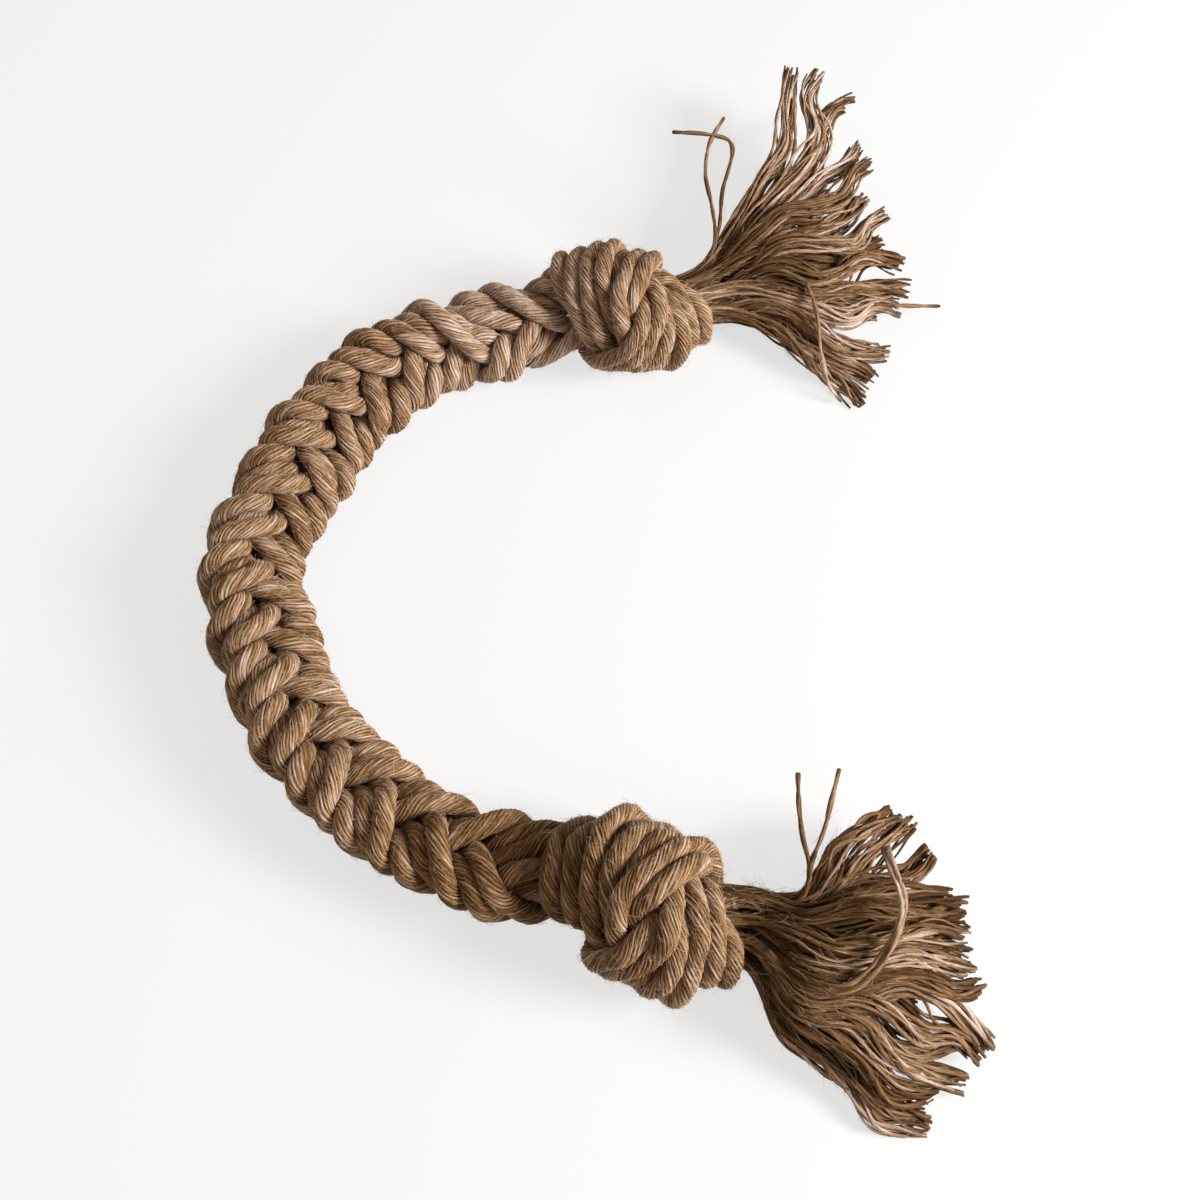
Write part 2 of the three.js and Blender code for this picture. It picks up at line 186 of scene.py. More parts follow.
# The loose fibres
FIBRE_RADIUS = 0.05
FIBRE_WIDTHS = (0.6, 1.2)
FIBRE_TIP_WIDTH = 0.6
FIBRE_PLACES = 4
FIBRE_CORNERS = 3
FIBRE_DEPTH = 0.1
LOWEST_FIBRE = 0.1
TUCKED_FIBRES = 0.5
RISE_CURVE = 1.4
ROPE_FUZZ_PER_POINT = 0.18
ROPE_FUZZ = {
    "ahead": 0.5,
    "proud": 0.03,
    "proud_stand": (0.3, 0.7),
    "stand": (0.04, 0.25),
    "length": (1.0, 3.4),
    "stray": 0.35,
    "hug": 0.075,
}
TASSEL_FUZZ_COUNT = 9500
TASSEL_FUZZ_FROM = 4
TASSEL_FUZZ_TO = YARN_PLACES - 10
TASSEL_FUZZ_ROOT = 0.9 * YARN_RADIUS
TASSEL_FUZZ = {
    "ahead": 0.7,
    "proud": 0.08,
    "proud_stand": (0.3, 0.8),
    "stand": (0.03, 0.25),
    "length": (2, 6),
    "stray": 0.26,
    "hug": 0.0,
}

# Streaks of one rope, yarn or fibre are drawn this far from those of the next
ROPE_STREAKS_APART = 400
YARN_STREAKS_APART = 150
FIBRE_STREAKS_APART = 7.3

# The middle of the photograph, from which routes are measured, and the way back to its viewer
PHOTO_CENTRE = np.array([2.68, -18.26, -2.07])
SIGHT = np.array([0, -0.42, 0.91])

# The camera, the light and the floor
CAMERA_AIM = PHOTO_CENTRE + [-1.4, 1.3, 0]
CAMERA_DISTANCE = 360.5
CAMERA_TILT = math.radians(65)
CAMERA_LENS = 37.5
CAMERA_SENSOR = 36
CAMERA_NEAREST = 10
LAMPS = {
    "key": {"place": (820, -220, 530), "size": 350, "power": 14.5},
    "fill": {"place": (-500, 300, 800), "size": 600, "power": 0.8},
}
SKY_COLOUR = (1, 0.9, 0.72, 1)
SKY_STRENGTH = 0.24
FLOOR_COLOUR = (0.86, 0.86, 0.86, 1)
FLOOR_WHITE = 0.7
FLOOR_HALF = 3000

# Seeds of the random draws
ROUGH_SEED = 11
WIDTH_SEED = 900
SWELL_SEED_STEP = 1000
GROOVE_VARY_SEED = 5000
GROOVE_VARY_SEED_STEP = 100
LAY_SEED = 77
BODY_SEED = 5
TINT_SEED = 300
LOCK_SEED = 40
YARN_SEED = 60
FUZZ_SEED = 5

# A random start is drawn from 0 to about one turn
ABOUT_A_TURN = 6.28
NOISE_STRETCHES = (1.0, 0.61, 0.37)
NOISE_PEAK = 1.6
# No path starts off along this way
ANY_WAY = np.array([0.31, 0.23, 0.92])
UP = np.array([0, 0, 1.0])

rough_dice = np.random.default_rng(ROUGH_SEED)
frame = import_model()
joints = {joint["name"]: np.array(joint["pos_m"]) * MM for joint in frame["joints"]}


def unit(v):
    """v made one long, along its last axis."""
    return v / np.maximum(np.linalg.norm(v, axis=-1, keepdims=True), 1e-9)


def eased(x, low, high):
    """0 up to low, 1 from high, and a smooth rise between them."""
    t = np.clip((x - low) / (high - low), 0, 1)
    return t * t * (3 - 2 * t)


def slow_noise(s, seed, wave):
    """A smooth random curve of about -1 to 1 along s, which changes over about one wave."""
    dice = np.random.default_rng(seed)
    total = 0
    for stretch in NOISE_STRETCHES:
        start = dice.uniform(0, ABOUT_A_TURN)
        total = total + stretch * np.sin(2 * np.pi * s / (wave * stretch) + start)
    return total / NOISE_PEAK


def evened(values, rounds):
    """values, each but the first and the last drawn towards its neighbours, round after round."""
    for _ in range(rounds):
        values[1:-1] = (values[:-2] + 2 * values[1:-1] + values[2:]) / 4
    return values


# The ropes' middle lines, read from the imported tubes


def ring_centres(node):
    """Middles of the rings of a packed tube, from one end to the other."""
    mesh = frame["nodes"][node].data
    places = np.array([v.co for v in mesh.vertices]) * MM
    points, number = np.unique(np.round(places, CORNER_DIGITS), axis=0, return_inverse=True)
    number = number.reshape(-1)
    near = [set() for _ in points]
    for face in mesh.polygons:
        corners = [int(number[v]) for v in face.vertices]
        for corner in corners:
            near[corner].update(corners)
    edges = [len(n) - 1 for n in near]
    # Only a flat end has corners with so few edges: two, next to the corner its fan starts from
    beside = [sum(edges[n] == END_EDGES for n in near[i] - {i}) for i in range(len(points))]
    start = next(i for i, count in enumerate(beside) if count >= 2)
    ring = {start} | {n for n in near[start] if edges[n] < SIDE_EDGES}
    done = set()
    centres = []
    while ring:
        centres.append(points[sorted(ring)].mean(axis=0))
        done |= ring
        ring = set().union(*(near[i] for i in ring)) - done
    return np.array(centres)


def travelled(line):
    """How far along a line each of its places is."""
    return np.concatenate([[0], np.cumsum(np.linalg.norm(np.diff(line, axis=0), axis=1))])


def smooth_line(points, step):
    """A smooth line through the points, followed in steps of about this length."""
    at = travelled(points)
    gaps = np.diff(at)
    slope = np.gradient(points, at, axis=0)
    places = np.linspace(0, at[-1], int(at[-1] / step))
    k = np.clip(np.searchsorted(at, places, side="right") - 1, 0, len(gaps) - 1)
    h = gaps[k][:, None]
    u = (places - at[k])[:, None] / h
    line = (
        points[k] * (1 + 2 * u) * (1 - u) ** 2
        + points[k + 1] * u * u * (3 - 2 * u)
        + slope[k] * h * u * (1 - u) ** 2
        - slope[k + 1] * h * u * u * (1 - u)
    )
    return evened(line, LINE_ROUNDS)


def resampled(line, count):
    """count places at even steps along a line."""
    at = travelled(line)
    wanted = np.linspace(0, at[-1], count)
    return np.stack([np.interp(wanted, at, line[:, i]) for i in range(3)], axis=1)


def rope_line(strand, rope):
    """One rope's middle line from the bottom tassel to the top one, and the radius along it."""
    stretches = [ring_centres(f"strand_{strand}_rope_{rope}_{section}") for section in SECTIONS]
    first, second = stretches[:2]
    # The first stretch is turned round where it starts nearer to the second than it ends
    from_start, from_end = (
        min(np.linalg.norm(second[e] - first[tip]) for e in (0, -1)) for tip in (0, -1)
    )
    if from_start < from_end:
        stretches[0] = first[::-1]
    for i in range(1, len(stretches)):
        end = stretches[i - 1][-1]
        if np.linalg.norm(stretches[i][-1] - end) < np.linalg.norm(stretches[i][0] - end):
            stretches[i] = stretches[i][::-1]
    points = np.concatenate(stretches)
    fine = smooth_line(points, FINE_STEP)
    line = resampled(fine, int(round(travelled(fine)[-1] / RING_STEP)) + 1)
    wanted = np.concatenate([np.full(len(s), ROPE_RADIUS[n]) for s, n in zip(stretches, SECTIONS)])
    at = travelled(points)
    radius = evened(np.interp(np.linspace(0, at[-1], len(line)), at, wanted), RADIUS_ROUNDS)
    number = np.arange(len(line))
    from_tip = np.minimum(number, number[::-1]) * RING_STEP
    return line, radius * (END_SHARE + (1 - END_SHARE) * eased(from_tip, 0, END_TAPER))


def carried(paths):
    """The way along each path, and two ways across it that are carried along without twist."""
    along = unit(np.gradient(paths, axis=1))
    side = np.empty_like(paths)
    now = np.cross(along[:, 0], ANY_WAY)
    for i in range(paths.shape[1]):
        now = unit(now - np.sum(now * along[:, i], axis=-1, keepdims=True) * along[:, i])
        side[:, i] = now
    return along, side, np.cross(along, side)


def around(angle, side, lift):
    """The ways that stand off at these angles round a path, from its two ways across."""
    return np.cos(angle)[..., None] * side + np.sin(angle)[..., None] * lift


# Meshes


def tube_mesh(name, rings):
    """A mesh of closed tubes. rings holds tubes x places x corners points."""
    tubes, places, corners = rings.shape[:3]
    number = np.arange(tubes * places * corners).reshape(tubes, places, corners)
    here, there = number[:, :-1], number[:, 1:]
    quads = np.stack([here, np.roll(here, -1, 2), np.roll(there, -1, 2), there], axis=-1)
    quads = quads.reshape(-1, 4)
    caps = np.concatenate([number[:, 0, ::-1], number[:, -1]])
    loops = np.concatenate([quads.ravel(), caps.ravel()])
    sizes = np.concatenate([np.full(len(quads), 4), np.full(len(caps), corners)])
    mesh = bpy.data.meshes.new(name)
    mesh.vertices.add(number.size)
    mesh.vertices.foreach_set("co", (rings / MM).astype(np.float32).ravel())
    mesh.loops.add(len(loops))
    mesh.loops.foreach_set("vertex_index", loops.astype(np.int32))
    mesh.polygons.add(len(sizes))
    mesh.polygons.foreach_set("loop_start", (np.cumsum(sizes) - sizes).astype(np.int32))
    mesh.update(calc_edges=True)
    return mesh


def add_object(name, data):
    """An object with this mesh, lamp or camera, in the scene."""
    made = bpy.data.objects.new(name, data)
    bpy.context.scene.collection.objects.link(made)
    return made


def add_piece(name, rings, material, values):
    """An object of closed tubes, with values kept at its points for the material."""
    mesh = tube_mesh(name, rings)
    for key, value in values.items():
        kind, field = ("FLOAT_VECTOR", "vector") if value.ndim == 4 else ("FLOAT", "value")
        kept = mesh.attributes.new(key, kind, "POINT")
        kept.data.foreach_set(field, value.astype(np.float32).ravel())
    mesh.materials.append(material)
    return add_object(name, mesh)


# Materials


class Nodes:
    """The nodes of a material or a world, added one by one and joined by the values they take."""

    def __init__(self, made):
        made.use_nodes = True
        self.made = made
        self.tree = made.node_tree
        self.output, self.shader = sorted(self.tree.nodes, key=lambda node: len(node.outputs))

    def add(self, kind, settings=None, **inputs):
        """A new node with these settings and inputs."""
        node = self.tree.nodes.new(kind)
        for key, value in (settings or {}).items():
            setattr(node, key, value)
        for key, value in inputs.items():
            self.set(node, key, value)
        return node

    def set(self, node, key, value):
        """Sets or joins one input: _2 is the input of that number, Base_Color one of that name."""
        socket = node.inputs[int(key[1:])] if key[0] == "_" else node.inputs[key.replace("_", " ")]
        if isinstance(value, bpy.types.NodeSocket):
            self.tree.links.new(value, socket)
        else:
            socket.default_value = value

    def kept(self, name):
        """What the mesh keeps at its points under this name."""
        return self.add("ShaderNodeAttribute", {"attribute_name": name}).outputs

    def maths(self, operation, a, b=0.0, c=0.0):
        """What one operation makes of up to three values."""
        return self.add("ShaderNodeMath", {"operation": operation}, _0=a, _1=b, _2=c).outputs[0]

    def noise(self, place, across, along, **inputs):
        """Noise with this many waves to the millimetre across and along the fibres."""
        scale = (across, across, along)
        scaled = self.add("ShaderNodeMapping", Vector=place, Scale=scale).outputs[0]
        return self.add("ShaderNodeTexNoise", Vector=scaled, Scale=1.0, **inputs).outputs[0]

    def ramp(self, value, stops):
        """The colour at this value, between stops of a place and a colour."""
        node = self.add("ShaderNodeValToRGB", _0=value)
        elements = node.color_ramp.elements
        while len(elements) < len(stops):
            elements.new(0.5)
        for element, (place, colour) in zip(elements, stops):
            element.position = place
            element.color = (*colour, 1)
        return node.outputs[0]

    def seen_white(self, share):
        """Adds white, by this share, where the camera, gloss or glass sees the surface itself."""
        path = self.add("ShaderNodeLightPath").outputs
        seen = self.maths("MAXIMUM", path["Is Camera Ray"], path["Is Glossy Ray"])
        seen = self.maths("MAXIMUM", seen, path["Is Transmission Ray"])
        part = self.maths("MULTIPLY", seen, share)
        own = self.shader.outputs[0]
        white = self.add("ShaderNodeEmission", Color=(1, 1, 1, 1), Strength=1.0).outputs[0]
        mixed = self.add("ShaderNodeMixShader", _0=part, _1=own, _2=white).outputs[0]
        self.set(self.output, "Surface", mixed)


def jute(name, stops, groove, streaks, tone):
    """Dry jute: streaks along the fibres, a tone for each yarn that also carries painted shade and
    painted light, painted shade in the grooves and paler crowns.
    """
    n = Nodes(bpy.data.materials.new(name))
    fibre = n.kept("fibre")["Vector"]
    crown = n.kept("crown")["Fac"]
    streak = n.noise(fibre, streaks, 0.3, Detail=3.0, Roughness=0.65)
    hairs = n.noise(fibre, 3 * streaks, 0.6, Detail=2.0)
    patch = n.noise(fibre, 0.4, 0.05, Detail=2.0)
    value = n.maths("MULTIPLY_ADD", n.kept("tint")["Fac"], tone, TONE_SHIFT - 0.5 * tone)
    # The crown value also makes the yarn crowns paler: partly the pale fuzz lying on them, partly a
    # painted highlight
    for layer, weight in ((streak, 0.75), (hairs, 0.3), (patch, 0.25), (crown, 0.1)):
        value = n.maths("MULTIPLY_ADD", layer, weight, value)
    colour = n.ramp(value, stops)
    blended = {"data_type": "RGBA", "blend_type": "MIX"}
    # Painted shade: the groove colour is mixed in where the crown value is low
    shaded = n.add("ShaderNodeMix", blended, _0=crown, _6=(*groove, 1), _7=colour).outputs[2]
    height = n.maths("MULTIPLY_ADD", hairs, 0.6, streak)
    bump = n.add("ShaderNodeBump", Strength=0.7, Distance=0.0003, Height=height).outputs[0]
    rough = n.maths("MULTIPLY_ADD", streak, -0.6, 0.85)
    n.set(n.shader, "Base_Color", shaded)
    n.set(n.shader, "Roughness", rough)
    n.set(n.shader, "Normal", bump)
    n.set(n.shader, "Specular_IOR_Level", 0.12)
    n.set(n.shader, "Specular_Tint", (1, 0.86, 0.7, 1))
    n.set(n.shader, "Sheen_Weight", 0.03)
    n.set(n.shader, "Sheen_Roughness", 0.4)
    n.set(n.shader, "Sheen_Tint", (0.95, 0.84, 0.7, 1))
    return n.made


ROPE_STOPS = [
    (0.5, (0.12, 0.056, 0.014)),
    (0.61, (0.32, 0.172, 0.072)),
    (0.7, (0.53, 0.33, 0.205)),
    (0.82, (0.86, 0.68, 0.58)),
]
YARN_STOPS = [
    (0.46, (0.1, 0.046, 0.012)),
    (0.6, (0.3, 0.162, 0.068)),
    (0.71, (0.53, 0.335, 0.215)),
    (0.84, (0.88, 0.7, 0.59)),
]
FUZZ_STOPS = [
    (0.4, (0.2, 0.115, 0.055)),
    (0.6, (0.52, 0.35, 0.21)),
    (0.8, (0.88, 0.68, 0.5)),
]
# Colours of the painted shade at the grooves between a rope's yarns and along the narrow sides of
# tassel yarns; the fibres take none, as their crown value is 1
ROPE_GROOVE = (0.045, 0.019, 0.005)
YARN_GROOVE = (0.05, 0.022, 0.007)
FUZZ_GROOVE = (0.2, 0.12, 0.06)
rope_jute = jute("laid_jute_rope", ROPE_STOPS, ROPE_GROOVE, streaks=3.0, tone=0.16)
yarn_jute = jute("frayed_jute_yarn", YARN_STOPS, YARN_GROOVE, streaks=3.6, tone=0.3)
fuzz_jute = jute("loose_jute_fibre", FUZZ_STOPS, FUZZ_GROOVE, streaks=2.0, tone=0.3)


# The laid ropes

lines = {(s, r): rope_line(s, r) for s in STRANDS for r in ROPES}
tree_points = np.concatenate([line for line, _ in lines.values()])
tree_owner = np.concatenate([np.full(len(line), i) for i, (line, _) in enumerate(lines.values())])
tree_index = np.concatenate([np.arange(len(line)) for line, _ in lines.values()])
tree = KDTree(len(tree_points))
for i, place in enumerate(tree_points):
    tree.insert(place, i)
tree.balance()


def pressed(line, owner, offsets, radius):
    """The offsets of a rope's surface, held back where a neighbour or the floor presses on it."""
    for i, middle in enumerate(line):
        for _, j, apart in tree.find_range(middle, 2 * radius[i] + CONTACT_REACH):
            if tree_owner[j] == owner and abs(tree_index[j] - i) < OWN_REACH / RING_STEP:
                continue
            towards = (tree_points[j] - middle) / max(apart, 1e-6)
            over = offsets[i] @ towards - (apart / 2 - CONTACT_GAP)
            offsets[i] -= np.maximum(over, 0)[:, None] * towards
        below = FLOOR_GAP - (middle[2] + offsets[i, :, 2])
        offsets[i, :, 2] += np.maximum(below, 0)
    return offsets


def streak_places(radius, turn, along, shape):
    """Where each point lies on a straight yarn or rope, for streaks that follow the fibres."""
    places = (radius * np.cos(turn), radius * np.sin(turn), along)
    return np.stack([np.broadcast_to(place, shape) for place in places], axis=-1)


def yarn_noise(s, seed, wave):
    """One smooth random curve along s for each yarn of a rope."""
    return np.stack([slow_noise(s, seed + k, wave) for k in range(YARNS)], axis=1)


def rope_darker(line, s):
    """How much darker than usual a rope is along its line: painted shade towards its bottom end and
    beside the bottom neck, painted light beside the top neck.
    """
    darker = LOWER_DARKER * (1 - eased(s, *LOWER_FADE))
    for neck, amount in NECK_DARKER.items():
        away = np.linalg.norm(line - joints[neck], axis=1)
        darker = darker + amount * (1 - eased(away, *NECK_FADE))
    return darker


def laid_rope(owner, line, radius):
    """The surface of one laid rope: its rings, and what the material needs at each point."""
    across = np.tile(np.array(YARN_ACROSS), YARNS)
    yarn = np.repeat(np.arange(YARNS), len(YARN_ACROSS))
    wide = np.random.default_rng(WIDTH_SEED + owner).uniform(*YARN_SHARES, YARNS)
    edge = np.cumsum(wide) - wide
    turn = 2 * np.pi * (edge[yarn] + wide[yarn] * (across + 1) / 2) / wide.sum()
    crown = np.sqrt(1 - YARN_ROUND * across**2)
    s = np.arange(len(line)) * RING_STEP
    swell = yarn_noise(s, SWELL_SEED_STEP * owner, SWELL_WAVE)
    groove_vary = yarn_noise(s, GROOVE_VARY_SEED + GROOVE_VARY_SEED_STEP * owner, GROOVE_VARY_WAVE)
    # How deep each groove is, which sets both the yarns' shape and how much painted shade the groove
    # takes
    groove = np.clip(GROOVE_DEPTH + GROOVE_VARY * groove_vary, GROOVE_LEAST, 1)[:, yarn]
    drift = LAY_DRIFT * slow_noise(s, LAY_SEED + owner, LAY_WAVE)
    twist = -math.tan(LAY_ANGLE) / LAY_RADIUS * s + drift
    along, side, lift = (v[0] for v in carried(line[None]))
    angle = turn[None] + twist[:, None]
    rise = YARN_RISE * (1 - (1 - crown[None]) * groove) * (1 + YARN_SWELL * swell[:, yarn])
    whole = 1 + BODY_SWELL * slow_noise(s, BODY_SEED + owner, BODY_WAVE)
    rough = rough_dice.normal(0, SURFACE_ROUGH, angle.shape)
    reach = (radius * whole)[:, None] - YARN_RISE + rise + rough
    out = around(angle, side[:, None], lift[:, None])
    offsets = pressed(line, owner, reach[..., None] * out, radius)
    squeeze = np.linalg.norm(offsets, axis=-1) / reach
    round_rope = np.cross(along[:, None], out)
    along_yarn = math.cos(LAY_ANGLE) * along[:, None] - math.sin(LAY_ANGLE) * round_rope
    streaks_at = (s + ROPE_STREAKS_APART * owner)[:, None]
    tint = np.random.default_rng(TINT_SEED + owner).uniform(0, 1, YARNS)
    tints = (1 - SWELL_TINT) * tint[yarn][None] + SWELL_TINT * (0.5 + 0.5 * swell[:, yarn])
    depth = (crown - crown.min()) / (crown.max() - crown.min())
    return {
        "rings": line[:, None] + offsets,
        "out": out,
        "along_yarn": along_yarn,
        "free": squeeze > FREE_SHARE,
        "fibre": streak_places(LAY_RADIUS, turn, streaks_at, angle.shape),
        # The tint carries the painted shade and painted light along the rope, on top of each yarn's
        # own tone
        "tint": tints - rope_darker(line, s)[:, None],
        # Painted shade in the grooves, strongest where a groove is deepest
        "crown": 1 - GROOVE_DARKER * groove * (1 - depth**GROOVE_CURVE),
    }


def nearest(line, point):
    """The number of the line's place that is nearest to a point."""
    return int(np.argmin(np.linalg.norm(line - point, axis=1)))


def bend(piece):
    """Bakes the piece's placing into its mesh and hands the piece back."""
    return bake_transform(piece)


surfaces = {}
cuts = {}
for owner, ((strand, rope), (line, radius)) in enumerate(lines.items()):
    made = laid_rope(owner, line, radius)
    at = [nearest(line, joints[name]) for name in HINGES]
    ends = [0, *((a + b) // 2 for a, b in zip(at, at[1:])), len(line) - 1]
    surfaces[strand, rope] = made
    cuts[strand, rope] = ends
    for k, hinge in enumerate(HINGES):
        part = slice(ends[k], ends[k + 1] + 1)
        rings = made["rings"][None, part]
        values = {key: made[key][None, part] for key in ("fibre", "tint", "crown")}
        piece = add_piece(f"strand_{strand}_rope_{rope}_{hinge}", rings, rope_jute, values)
        stands_for = [f"strand_{strand}_rope_{rope}_{section}" for section in SECTIONS[k : k + 2]]
        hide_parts(*stands_for)
        bend(piece)


# The frayed tassels

# Routes of the locks of yarn out to their tips, measured from the middle of the photograph
BOTTOM_LOCKS = [
    [(44, -90, 20), (51, -87, 22), (54, -82, 24), (57, -77, 25), (64, -72, 24), (72, -66, 22)],
    [(48, -89, 18), (59, -84, 18), (64, -78, 18), (71, -72, 17), (79, -66, 16)],
    [(50, -90, 19), (58, -85, 18), (67, -83, 17), (74, -82, 16), (83, -75, 15)],
    [(50, -92, 22), (60, -89, 22), (70, -87, 20), (79, -87, 17), (87, -87, 15)],
    [(49, -94, 25), (60, -92, 25), (71, -92, 23), (81, -91, 19), (90, -90, 16)],
    [(45, -98, 28), (53, -102, 29), (60, -101, 28), (70, -98, 25), (81, -96, 20), (90, -96, 16)],
    [(47, -102, 24), (56, -104, 23), (66, -102, 21), (76, -99, 18), (90, -101, 13)],
    [(48, -106, 27), (58, -107, 27), (67, -104, 25), (76, -103, 21), (91, -105, 13)],
    [(47, -108, 28), (58, -110, 28), (67, -108, 26), (74, -108, 23), (85, -110, 17), (93, -107, 13)],
    [(48, -110, 24), (59, -113, 23), (69, -109, 22), (81, -112, 17), (87, -117, 12), (94, -123, 7)],
    [(47, -112, 26), (58, -112, 25), (67, -115, 21), (75, -120, 16), (84, -120, 11), (92, -125, 6)],
    [(47, -113, 23), (59, -114, 20), (65, -120, 17), (73, -123, 13), (87, -120, 8)],
    [(47, -116, 24), (58, -118, 21), (64, -123, 17), (71, -127, 12), (88, -130, 5)],
    [(46, -118, 22), (55, -122, 19), (62, -127, 15), (68, -132, 10), (76, -132, 7), (82, -129, 5)],
    [(44, -118, 16), (54, -125, 12), (60, -130, 9), (66, -134, 6), (79, -138, 4)],
    [(44, -120, 13), (53, -126, 10), (59, -131, 7), (64, -138, 5), (71, -139, 4), (78, -140, 4)],
    [(44, -95, 14), (54, -93, 12), (62, -91, 10), (72, -91, 7), (82, -89, 5)],
    [(46, -98, 16), (58, -97, 12), (70, -95, 8), (80, -94, 5)],
    [(46, -105, 15), (58, -106, 11), (70, -107, 7), (82, -108, 4)],
]
TOP_LOCKS = [
    [(42, 121, 25), (49, 134, 27), (56, 147, 28), (58, 162, 28), (61, 184, 28)],
    [(46, 120, 25), (54, 131, 26), (63, 143, 26), (68, 154, 26), (66, 170, 27), (72, 182, 28)],
    [(49, 122, 23), (58, 134, 23), (66, 148, 22), (71, 162, 22), (76, 171, 22), (85, 175, 22)],
    [(51, 117, 24), (61, 130, 22), (70, 142, 20), (78, 149, 19), (84, 160, 19)],
    [(46, 112, 27), (55, 120, 29), (65, 123, 27), (74, 130, 24), (81, 144, 21), (88, 150, 19)],
    [(55, 112, 24), (66, 118, 22), (75, 125, 20), (85, 137, 18)],
    [(56, 108, 27), (67, 109, 26), (77, 112, 23), (84, 124, 19), (91, 131, 17)],
    [(57, 107, 20), (70, 108, 18), (80, 114, 15), (90, 122, 13)],
    [(55, 100, 26), (63, 97, 25), (71, 100, 22), (82, 111, 18), (96, 111, 14)],
    [(54, 97, 22), (63, 96, 20), (74, 98, 17), (87, 103, 13), (98, 104, 10)],
    [(56, 95, 20), (64, 92, 18), (75, 92, 14), (86, 98, 11), (95, 97, 8)],
    [(53, 91, 19), (62, 87, 16), (69, 83, 12), (80, 82, 9), (90, 83, 7)],
    [(53, 88, 14), (62, 82, 11), (71, 78, 8), (79, 77, 6), (85, 73, 5)],
    [(52, 88, 13), (61, 81, 10), (67, 77, 7), (74, 72, 5), (80, 64, 4)],
    [(48, 119, 17), (58, 128, 13), (68, 139, 10), (76, 148, 8)],
    [(51, 110, 17), (62, 113, 13), (75, 118, 9), (86, 123, 6)],
    [(52, 99, 15), (64, 97, 11), (76, 98, 7), (88, 99, 5)],
]
# Yarns that stray from the rest: how many side by side, how pale, and their route
BOTTOM_STRAYS = [
    (1, 0.1,
     [(39, -92, 18), (47, -88, 22), (49, -84, 27), (47, -76, 32), (46, -69, 36), (46, -62, 38)]),
    (1, 0.2,
     [(40, -92, 18), (48, -88, 24), (49, -82, 29), (52, -75, 33), (54, -68, 36), (56, -61, 38)]),
    (4, 0.45,
     [(38, -101, 22), (46, -110, 26), (57, -110, 30), (64, -104, 32), (69, -94, 33), (67, -78, 30)]),
]
TOP_STRAYS = [
    (1, 0.2,
     [(31, 105, 20), (34, 111, 25), (33, 120, 30), (31, 131, 34), (32, 138, 37), (37, 148, 39)]),
    (1, 0.1,
     [(32, 107, 20), (35, 114, 26), (36, 124, 31), (38, 140, 38), (32, 142, 38), (21, 144, 37)]),
    (1, 0.1,
     [(58, 96, 20), (77, 97, 14), (90, 98, 11), (106, 100, 8)]),
    (1, 0.6,
     [(54, 104, 19), (60, 98, 24), (64, 88, 21), (66, 75, 14), (69, 69, 8), (73, 67, 4)]),
]
# How far along a yarn each of its places is
ALONG = np.linspace(0, 1, YARN_PLACES)


def rope_ends(end):
    """Where each rope frays at one end: its middle, its way out and its ring round the middle."""
    last, back = (-1, -1 - FRAY_BACK) if end == "top" else (0, FRAY_BACK)
    ends = []
    for key, (line, _) in lines.items():
        ring = surfaces[key]["rings"][back] - line[back]
        ends.append((line[back], unit(line[last] - line[back]), ring))
    return ends


def yarn_route(points):
    """A yarn's route through the points and the way to its side, as the photograph sees it."""
    route = resampled(smooth_line(np.array(points, float), ROUTE_STEP), YARN_PLACES)
    return route, unit(np.cross(np.gradient(route, axis=0), SIGHT))


def yarn_in_lock(k, inward, roll, dice):
    """How far yarn k of a lock lies to the side of the lock's route, above it, and under its top."""
    beneath = k >= YARNS_ON_TOP
    under = dice.uniform(*UNDER_DEPTH) * beneath
    aside = dice.uniform(-inward, UNDER_SPREAD - inward) * beneath
    strays_off = 1 + (dice.uniform() < STRAYING_YARNS) * dice.uniform(*STRAYING) * ALONG**2
    wave = 2 * np.pi * ALONG * dice.uniform(*YARN_WAVES) + dice.uniform(0, ABOUT_A_TURN)
    height = dice.uniform(*WAVE_HEIGHTS) * eased(ALONG, *WAVING)
    spot = YARN_SPACING * math.sqrt(k % YARNS_ON_TOP + SPIRAL_START)
    angle = SPIRAL_TURN * k + roll * ALONG
    fan = (FAN - FAN_LOSS * ALONG**2) * strays_off
    gathered = 1 - TIP_GATHERED * eased(ALONG, *GATHERING)
    away = eased(ALONG, *SPREADING) * gathered
    to_side = fan * LOCK_WIDE * spot * np.cos(angle) + height * np.sin(wave) + aside * away
    lifted = fan * LOCK_HIGH * spot * np.sin(angle) + WAVE_LIFT * height * np.cos(wave)
    return to_side, lifted - under * gathered, under


